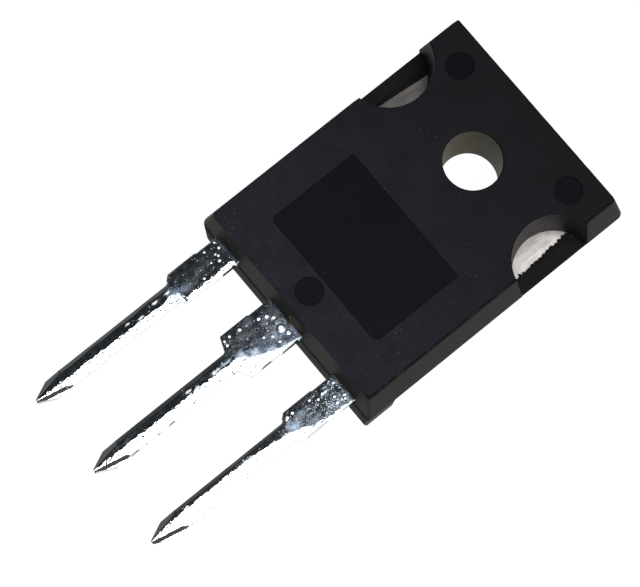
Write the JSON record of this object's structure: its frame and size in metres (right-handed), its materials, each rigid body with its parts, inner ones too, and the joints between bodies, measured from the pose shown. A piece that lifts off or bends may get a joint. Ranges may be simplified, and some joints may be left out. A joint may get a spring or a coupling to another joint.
{
  "type": "power transistor",
  "caption": "Flat black moulded power transistor with a screw hole, half-round side notches, an exposed metal back and pointed tinned leads.",
  "frame": {"origin": "on the screw hole's axis, in the plane of the back face that meets the heatsink", "axes": "+Z out of the front face along the screw hole, +Y along the body away from the leads, +X to the right seen from the front with the leads down"},
  "size_m": [0.0158, 0.0347, 0.005],
  "materials": {
    "moulding": "moulded epoxy, fine eroded texture",
    "tinned_copper": "hot dipped tin",
    "solder": "soldered",
    "silicon": "polished",
    "aluminium_wire": "drawn"
  },
  "bodies": {
    "root": {"moulded_case": "moulding", "drain_frame": "tinned_copper", "gate_lead": "tinned_copper", "source_lead": "tinned_copper", "chip_solder": "solder", "silicon_chip": "silicon", "gate_wire": "aluminium_wire", "source_wire_1": "aluminium_wire", "source_wire_2": "aluminium_wire", "source_wire_3": "aluminium_wire"}
  },
  "joints": []
}
